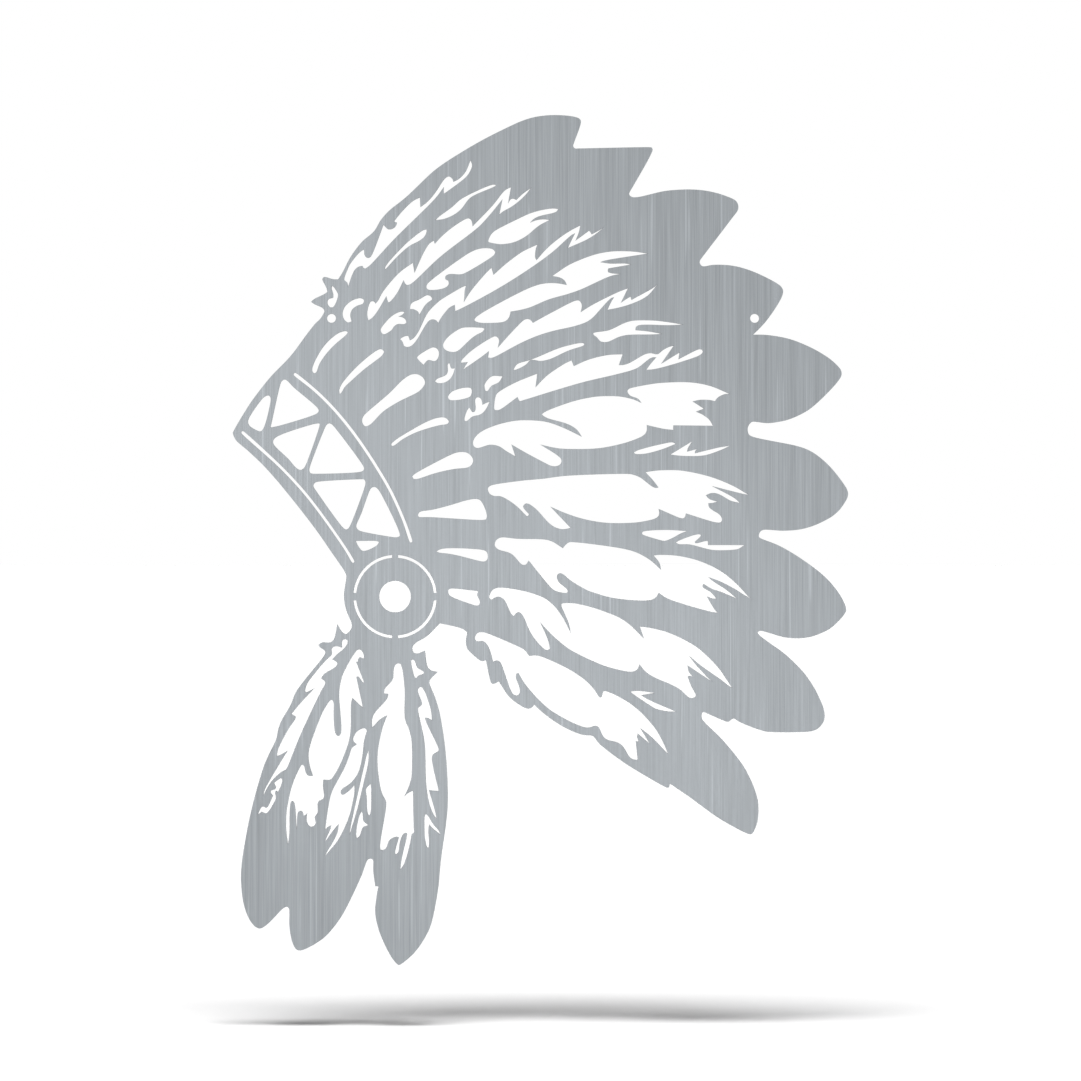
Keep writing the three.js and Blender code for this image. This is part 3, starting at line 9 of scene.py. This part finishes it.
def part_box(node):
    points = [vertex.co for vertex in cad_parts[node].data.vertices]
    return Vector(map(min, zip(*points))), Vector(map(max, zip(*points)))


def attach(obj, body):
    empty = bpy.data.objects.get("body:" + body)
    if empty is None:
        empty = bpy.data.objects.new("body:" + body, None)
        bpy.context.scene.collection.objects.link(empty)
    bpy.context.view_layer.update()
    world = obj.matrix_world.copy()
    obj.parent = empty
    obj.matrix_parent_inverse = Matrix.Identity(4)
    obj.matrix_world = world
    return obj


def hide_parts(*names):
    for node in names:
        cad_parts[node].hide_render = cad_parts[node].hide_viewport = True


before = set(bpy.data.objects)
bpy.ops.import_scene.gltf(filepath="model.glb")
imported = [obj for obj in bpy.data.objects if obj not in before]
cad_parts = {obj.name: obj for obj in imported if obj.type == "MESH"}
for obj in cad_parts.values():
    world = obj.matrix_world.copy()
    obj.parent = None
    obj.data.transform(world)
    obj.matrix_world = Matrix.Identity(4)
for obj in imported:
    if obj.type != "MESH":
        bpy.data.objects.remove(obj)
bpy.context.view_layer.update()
plateNode = "headdress_plate"
plateLow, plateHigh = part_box(plateNode)
print("frame loaded:", sorted(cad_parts))

# The photo is square, and the plaque is 850 of its pixels tall
photo = {
    "size": 1081,
    "plaqueTop": 115,
    "plaqueBottom": 965,
    "plaqueLeft": 232.8,
    "floorLine": 1028,  # where the floor passes under the plaque
}
metresPerPixel = (plateHigh.z - plateLow.z) / (photo["plaqueBottom"] - photo["plaqueTop"])


def photoX(pixel):
    return plateLow.x + (pixel - photo["plaqueLeft"]) * metresPerPixel


def photoZ(pixel):
    return plateHigh.z - (pixel - photo["plaqueTop"]) * metresPerPixel


# Camera, square on to the plaque's face
lens = {"focal": 100.0, "sensor": 36.0}


def addCamera():
    data = bpy.data.cameras.new("photoCamera")
    data.lens = lens["focal"]
    data.sensor_width = lens["sensor"]
    data.dof.use_dof = False
    camera = bpy.data.objects.new("photoCamera", data)
    bpy.context.scene.collection.objects.link(camera)
    frameWidth = photo["size"] * metresPerPixel
    distance = frameWidth * lens["focal"] / lens["sensor"]
    middle = photo["size"] / 2
    camera.location = (photoX(middle), plateLow.y - distance, photoZ(middle))
    camera.rotation_euler = (math.pi / 2, 0, 0)
    bpy.context.scene.camera = camera
    print("camera set", round(distance, 3), "m away")
    return camera


# Small helpers for shader nodes
def addNode(tree, kind, **inputs):
    node = tree.nodes.new(kind)
    for name, value in inputs.items():
        node.inputs[name].default_value = value
    return node


noiseRoughness = 0.6  # share of each finer octave


def stretchedNoise(tree, coords, across, along, detail, axis):
    # noise drawn out along one axis: frequencies are per metre
    mapping = tree.nodes.new("ShaderNodeMapping")
    scale = [across, across, across]
    scale["xyz".index(axis)] = along
    mapping.inputs["Scale"].default_value = scale
    tree.links.new(coords, mapping.inputs["Vector"])
    noise = addNode(tree, "ShaderNodeTexNoise", Scale=1.0, Detail=detail, Roughness=noiseRoughness)
    tree.links.new(mapping.outputs["Vector"], noise.inputs["Vector"])
    return noise.outputs["Fac"]


def remap(tree, value, low, high, newLow, newHigh):
    node = tree.nodes.new("ShaderNodeMapRange")
    node.inputs["From Min"].default_value = low
    node.inputs["From Max"].default_value = high
    node.inputs["To Min"].default_value = newLow
    node.inputs["To Max"].default_value = newHigh
    tree.links.new(value, node.inputs["Value"])
    return node.outputs["Result"]


def calc(tree, operation, first, second):
    node = tree.nodes.new("ShaderNodeMath")
    node.operation = operation
    for socket, value in zip(node.inputs, (first, second)):
        if isinstance(value, (int, float)):
            socket.default_value = value
        else:
            tree.links.new(value, socket)
    return node.outputs["Value"]


def mixColours(tree, amount, first, second):
    node = tree.nodes.new("ShaderNodeMix")
    node.data_type = "RGBA"
    tree.links.new(amount, node.inputs["Factor"])
    node.inputs["A"].default_value = (*first, 1)
    node.inputs["B"].default_value = (*second, 1)
    return node.outputs["Result"]


def addBump(tree, shader, height, strength, depth):
    bump = addNode(tree, "ShaderNodeBump", Strength=strength, Distance=depth)
    tree.links.new(height, bump.inputs["Height"])
    tree.links.new(bump.outputs["Normal"], shader.inputs["Normal"])


# Brushed face: upright grain in three sizes, from hairlines to soft bands
brushedFace = {
    "darkStreak": (0.252, 0.268, 0.281),
    "lightStreak": (0.398, 0.424, 0.446),
    "hairAcross": 1400, "hairAlong": 16, "hairDetail": 2.0,
    "streakAcross": 420, "streakAlong": 5, "streakDetail": 3.0,
    "bandAcross": 70, "bandAlong": 3, "bandDetail": 2.0,
    "glintAcross": 620, "glintAlong": 11, "glintDetail": 0.0,
    "glintFrom": 0.72, "glintTo": 0.8, "glintShare": 0.8,  # rare bright hairlines
    "hairShare": 0.52, "streakShare": 0.33, "bandShare": 0.15,
    "grainLow": 0.285, "grainHigh": 0.715,  # summed grain that is wholly dark, and wholly light
    "roughLow": 0.3, "roughHigh": 0.46,
    "roughFrom": 0.25, "roughTo": 0.75,  # streak values that these two stand at
    "grainDepth": 0.00003, "grainStrength": 0.35,
    "anisotropy": 0.2,
}


def brushedSteel():
    look = brushedFace
    material = bpy.data.materials.new("brushedSteel")
    material.use_nodes = True
    tree = material.node_tree
    shader = tree.nodes["Principled BSDF"]
    coords = tree.nodes.new("ShaderNodeTexCoord").outputs["Object"]

    def upright(name):
        values = [look[name + part] for part in ("Across", "Along", "Detail")]
        return stretchedNoise(tree, coords, *values, "z")

    hair = upright("hair")
    streak = upright("streak")
    band = upright("band")
    grain = calc(tree, "MULTIPLY", hair, look["hairShare"])
    grain = calc(tree, "ADD", grain, calc(tree, "MULTIPLY", streak, look["streakShare"]))
    grain = calc(tree, "ADD", grain, calc(tree, "MULTIPLY", band, look["bandShare"]))
    amount = remap(tree, grain, look["grainLow"], look["grainHigh"], 0.0, 1.0)
    glint = upright("glint")
    glint = remap(tree, glint, look["glintFrom"], look["glintTo"], 0.0, look["glintShare"])
    amount = calc(tree, "ADD", amount, glint)
    colour = mixColours(tree, amount, look["darkStreak"], look["lightStreak"])
    tree.links.new(colour, shader.inputs["Base Color"])
    rough = remap(
        tree, streak, look["roughFrom"], look["roughTo"], look["roughLow"], look["roughHigh"]
    )
    tree.links.new(rough, shader.inputs["Roughness"])
    addBump(tree, shader, hair, look["grainStrength"], look["grainDepth"])
    shader.inputs["Metallic"].default_value = 1.0
    shader.inputs["Anisotropic"].default_value = look["anisotropy"]
    return material


# Cut wall: duller steel with the fine ribs that the cutting beam leaves across the sheet
cutWall = {
    "darkRib": (0.2, 0.21, 0.22),
    "lightRib": (0.36, 0.37, 0.38),
    "ribAcross": 2600, "ribAlong": 120, "ribDetail": 2.0,
    "ribLow": 0.3, "ribHigh": 0.7,  # rib values that are wholly dark, and wholly light
    "rough": 0.52,
    "ribDepth": 0.00004, "ribStrength": 0.6,
}


def cutSteel():
    look = cutWall
    material = bpy.data.materials.new("cutSteel")
    material.use_nodes = True
    tree = material.node_tree
    shader = tree.nodes["Principled BSDF"]
    coords = tree.nodes.new("ShaderNodeTexCoord").outputs["Object"]
    ribs = stretchedNoise(tree, coords, look["ribAcross"], look["ribAlong"], look["ribDetail"], "y")
    amount = remap(tree, ribs, look["ribLow"], look["ribHigh"], 0.0, 1.0)
    colour = mixColours(tree, amount, look["darkRib"], look["lightRib"])
    tree.links.new(colour, shader.inputs["Base Color"])
    addBump(tree, shader, ribs, look["ribStrength"], look["ribDepth"])
    shader.inputs["Roughness"].default_value = look["rough"]
    shader.inputs["Metallic"].default_value = 1.0
    return material


# The sheet: every cut of the CAD plate, drawn smooth between its corners, with the edges eased
sheet = {
    "ease": 0.00014,  # rounding left on the edges by the brushing
    "easeSteps": 2,
    "cornerAngle": 52,  # a sharper turn than this stays a corner
    "longestStep": 0.0012,
    "tipReach": 2.2,  # most that a pointed tip draws back, in eases
    "spikeWidth": 2.5,  # narrower metal than this, in eases, is eased less
    "sharpAngle": 40,  # faces that meet at more than this are shaded apart
}
faceSlot, wallSlot = 0, 1  # the plate's materials
near = 1e-6  # what lies nearer than this is one
tiny = 1e-9  # keeps a division from zero


def cutLoops():
    # the closed edges of the CAD plate's front face, as lists of (x, z)
    mesh = bmesh.new()
    mesh.from_mesh(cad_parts[plateNode].data)
    bmesh.ops.remove_doubles(mesh, verts=mesh.verts, dist=near)
    mesh.normal_update()
    following = {}
    for face in mesh.faces:
        if round(face.normal.y) != -1:
            continue
        for loop in face.loops:
            other = loop.link_loop_radial_next.face
            if round(other.normal.y) == 0:  # a wall of the cut
                following[loop.vert] = loop.link_loop_next.vert
    loops = []
    while following:
        start, vert = following.popitem()
        points = [(start.co.x, start.co.z)]
        while vert is not start:
            points.append((vert.co.x, vert.co.z))
            vert = following.pop(vert)
        loops.append([Vector(p) for p in points])
    mesh.free()
    loops.sort(key=lambda loop: -abs(signedArea(loop)))
    return loops


def signedArea(loop):
    total = 0.0
    for a, b in zip(loop, loop[1:] + loop[:1]):
        total += a.x * b.y - a.y * b.x
    return total / 2


def turnAngle(before, here, after):
    return (here - before).angle(after - here, 0.0)


def curvePoint(p0, p1, p2, p3, t):
    # a point between p1 and p2 on the curve through all four, spaced by the root of their distance
    knots = [0.0]
    for a, b in ((p0, p1), (p1, p2), (p2, p3)):
        knots.append(knots[-1] + math.sqrt(max((b - a).length, tiny)))
    t0, t1, t2, t3 = knots
    t = t1 + (t2 - t1) * t
    a1 = p0 * ((t1 - t) / (t1 - t0)) + p1 * ((t - t0) / (t1 - t0))
    a2 = p1 * ((t2 - t) / (t2 - t1)) + p2 * ((t - t1) / (t2 - t1))
    a3 = p2 * ((t3 - t) / (t3 - t2)) + p3 * ((t - t2) / (t3 - t2))
    b1 = a1 * ((t2 - t) / (t2 - t0)) + a2 * ((t - t0) / (t2 - t0))
    b2 = a2 * ((t3 - t) / (t3 - t1)) + a3 * ((t - t1) / (t3 - t1))
    return b1 * ((t2 - t) / (t2 - t1)) + b2 * ((t - t1) / (t2 - t1))


def smoothLoop(loop):
    # more points along the bends, none moved, corners kept
    count = len(loop)
    limit = math.radians(sheet["cornerAngle"])
    corner = [turnAngle(loop[i - 1], loop[i], loop[(i + 1) % count]) > limit for i in range(count)]
    smooth = []
    for i in range(count):
        p1 = loop[i]
        p2 = loop[(i + 1) % count]
        p0 = p1 * 2 - p2 if corner[i] else loop[i - 1]
        p3 = p2 * 2 - p1 if corner[(i + 1) % count] else loop[(i + 2) % count]
        steps = max(1, math.ceil((p2 - p1).length / sheet["longestStep"]))
        if steps == 1 and not (corner[i] and corner[(i + 1) % count]):
            steps = 2
        smooth += [curvePoint(p0, p1, p2, p3, k / steps) for k in range(steps)]
    return smooth


def inwardSteps(loop):
    # where each point of an edge moves, for one unit into the metal
    steps = []
    count = len(loop)
    for i in range(count):
        before = (loop[i] - loop[i - 1]).normalized()
        after = (loop[(i + 1) % count] - loop[i]).normalized()
        left = Vector((-before.y - after.y, before.x + after.x))
        if left.length < near:
            left = Vector((-after.y, after.x))
        left.normalize()
        reach = 1 / max(left.dot(Vector((-after.y, after.x))), 1 / sheet["tipReach"])
        steps.append(left * min(reach, sheet["tipReach"]))
    return steps


def easedSteps(loop):
    # the same moves, held back where the two sides of a spike would cross
    steps = inwardSteps(loop)
    width = sheet["spikeWidth"] * sheet["ease"]
    tree = kdtree.KDTree(len(loop))
    for i, point in enumerate(loop):
        tree.insert(point.to_3d(), i)
    tree.balance()
    held = []
    for point, step in zip(loop, steps):
        share = 1.0
        for _, j, gap in tree.find_range(point.to_3d(), width):
            if steps[j].dot(step) < 0 and (loop[j] - point).dot(step) > 0:
                share = min(share, gap / width)
        held.append(step * share)
    return held


def makePlate():
    loops = [smoothLoop(loop) for loop in cutLoops()]
    if signedArea(loops[0]) < 0:
        loops[0].reverse()
    for loop in loops[1:]:
        if signedArea(loop) > 0:
            loop.reverse()
    front = plateLow.y
    back = plateHigh.y
    ease = sheet["ease"]
    # rows of the edge from the front face, round its rim, through the wall, to the back face
    rows = []
    for k in range(sheet["easeSteps"] + 1):
        turn = math.pi / 2 * k / sheet["easeSteps"]
        rows.append((ease * (1 - math.sin(turn)), front + ease * (1 - math.cos(turn))))
    rows += [(inset, front + back - y) for inset, y in reversed(rows)]
    verts = []
    faces = []
    slots = []
    rings = []  # for each loop, the first vertex of each row
    for loop in loops:
        steps = easedSteps(loop)
        starts = []
        for inset, y in rows:
            starts.append(len(verts))
            verts += [(p.x + s.x * inset, y, p.y + s.y * inset) for p, s in zip(loop, steps)]
        rings.append((starts, len(loop)))
        for r in range(len(rows) - 1):
            isWall = r == sheet["easeSteps"]
            for i in range(len(loop)):
                j = (i + 1) % len(loop)
                a = starts[r]
                b = starts[r + 1]
                faces.append((a + i, b + i, b + j, a + j))
                slots.append(wallSlot if isWall else faceSlot)
    edgeFaces = len(faces)
    addCap(verts, faces, slots, [(starts[0], count) for starts, count in rings], True)
    addCap(verts, faces, slots, [(starts[-1], count) for starts, count in rings], False)
    mesh = bpy.data.meshes.new("headdressPlate")
    mesh.from_pydata(verts, [], faces)
    mesh.set_sharp_from_angle(angle=math.radians(sheet["sharpAngle"]))
    for polygon, slot in zip(mesh.polygons, slots):
        polygon.material_index = slot
        polygon.use_smooth = polygon.index < edgeFaces
    plate = bpy.data.objects.new("headdressPlate", mesh)
    bpy.context.scene.collection.objects.link(plate)
    plate.data.materials.append(brushedSteel())
    plate.data.materials.append(cutSteel())
    print("plate made:", len(loops), "edges,", len(faces), "faces")
    return plate


def addCap(verts, faces, slots, rings, isFront):
    # fills one face of the sheet between the outer edge and the cuts
    order = []
    edges = []
    for start, count in rings:
        base = len(order)
        order += range(start, start + count)
        edges += [(base + i, base + (i + 1) % count) for i in range(count)]
    flat = [Vector((verts[v][0], verts[v][2])) for v in order]
    outPoints, _, outFaces, origins, _, _ = delaunay_2d_cdt(flat, edges, [], 1, tiny)
    ids = []
    for point, sources in zip(outPoints, origins):
        if sources:
            ids.append(order[sources[0]])
        else:
            ids.append(len(verts))
            verts.append((point.x, verts[order[0]][1], point.y))
    loops = []
    for start, count in rings[1:]:
        loops.append([Vector((verts[v][0], verts[v][2])) for v in range(start, start + count)])
    holes = [(loop, loopBox(loop)) for loop in loops]
    for face in outFaces:
        centre = sum((outPoints[v] for v in face), Vector((0, 0))) / len(face)
        if any(isInside(centre, loop, box) for loop, box in holes):
            continue
        corners = [ids[v] for v in face]
        faces.append(corners if isFront else corners[::-1])
        slots.append(faceSlot)


def loopBox(loop):
    xs = [p.x for p in loop]
    ys = [p.y for p in loop]
    return min(xs), min(ys), max(xs), max(ys)


def isInside(point, loop, box):
    if not (box[0] < point.x < box[2] and box[1] < point.y < box[3]):
        return False
    inside = False
    for a, b in zip(loop, loop[1:] + loop[:1]):
        if (a.y > point.y) != (b.y > point.y):
            crossing = a.x + (point.y - a.y) / (b.y - a.y) * (b.x - a.x)
            inside ^= point.x < crossing
    return inside


# Pale studio: floor and sky, a row of soft lamps overhead and a slanting strip in front
studio = {
    "floorSize": 60.0,
    "floorColour": (0.15, 0.15, 0.15),  # the lamps bring it up to white
    "floorMottle": 3.0,  # faint lighter patches to the metre
    "floorDetail": 2.0,
    "floorLighter": 1.02,
    "floorRough": 0.9,
    "skyColour": (1.0, 1.0, 1.0),
    "skyStrength": 1.0,
    "lampStrength": 20.0,
    "lampAngle": 12.0,  # degrees across, which softens the shadow
    "lampTilt": 11.0,  # degrees that the row stands forward of the plaque
    "lampSpread": (-14, -7, 0, 7, 14),  # degrees to each side
    "stripLength": 1.0,
    "stripWidth": 0.36,
    "stripSlant": 48.0,  # degrees below level, down to the right
    "stripPower": 0.5,
    "stripPlace": (-0.03, -0.55, -0.06),  # of its middle, from the middle of the picture
}


def addFloor():
    level = photoZ(photo["floorLine"])
    half = studio["floorSize"] / 2
    mesh = bpy.data.meshes.new("studioFloor")
    sides = ((-half, -half), (half, -half), (half, half), (-half, half))
    corners = [(x, y, level) for x, y in sides]
    mesh.from_pydata(corners, [], [(0, 1, 2, 3)])
    floor = bpy.data.objects.new("studioFloor", mesh)
    bpy.context.scene.collection.objects.link(floor)
    material = bpy.data.materials.new("paleFloor")
    material.use_nodes = True
    tree = material.node_tree
    shader = tree.nodes["Principled BSDF"]
    coords = tree.nodes.new("ShaderNodeTexCoord").outputs["Object"]
    patches = studio["floorMottle"]
    mottle = stretchedNoise(tree, coords, patches, patches, studio["floorDetail"], "x")
    base = studio["floorColour"]
    lighter = [c * studio["floorLighter"] for c in base]
    tree.links.new(mixColours(tree, mottle, base, lighter), shader.inputs["Base Color"])
    shader.inputs["Roughness"].default_value = studio["floorRough"]
    shader.inputs["Specular IOR Level"].default_value = 0.0
    floor.data.materials.append(material)


def addLights(camera):
    world = bpy.data.worlds.new("studioSky")
    world.use_nodes = True
    sky = world.node_tree.nodes["Background"]
    sky.inputs["Color"].default_value = (*studio["skyColour"], 1)
    sky.inputs["Strength"].default_value = studio["skyStrength"]
    bpy.context.scene.world = world
    data = bpy.data.lights.new("topLamp", "SUN")
    data.energy = studio["lampStrength"] / len(studio["lampSpread"])
    data.angle = math.radians(studio["lampAngle"])
    for lean in studio["lampSpread"]:
        lamp = bpy.data.objects.new("topLamp", data)
        lamp.rotation_euler = (math.radians(studio["lampTilt"]), math.radians(lean), 0)
        lamp.visible_glossy = False  # they light the floor only, and leave no glint on the rims
        bpy.context.scene.collection.objects.link(lamp)
    data = bpy.data.lights.new("stripLamp", "AREA")
    data.shape = "RECTANGLE"
    data.size = studio["stripLength"]
    data.size_y = studio["stripWidth"]
    data.energy = studio["stripPower"]
    strip = bpy.data.objects.new("stripLamp", data)
    middle = Vector((camera.location.x, plateLow.y, camera.location.z))
    strip.location = middle + Vector(studio["stripPlace"])
    strip.rotation_euler = (math.pi / 2, math.radians(studio["stripSlant"]), 0)
    bpy.context.scene.collection.objects.link(strip)
    print("studio lit")


camera = addCamera()
plate = makePlate()
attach(plate, "root")
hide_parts(plateNode)
addFloor()
addLights(camera)
bpy.context.scene.view_settings.view_transform = "Standard"
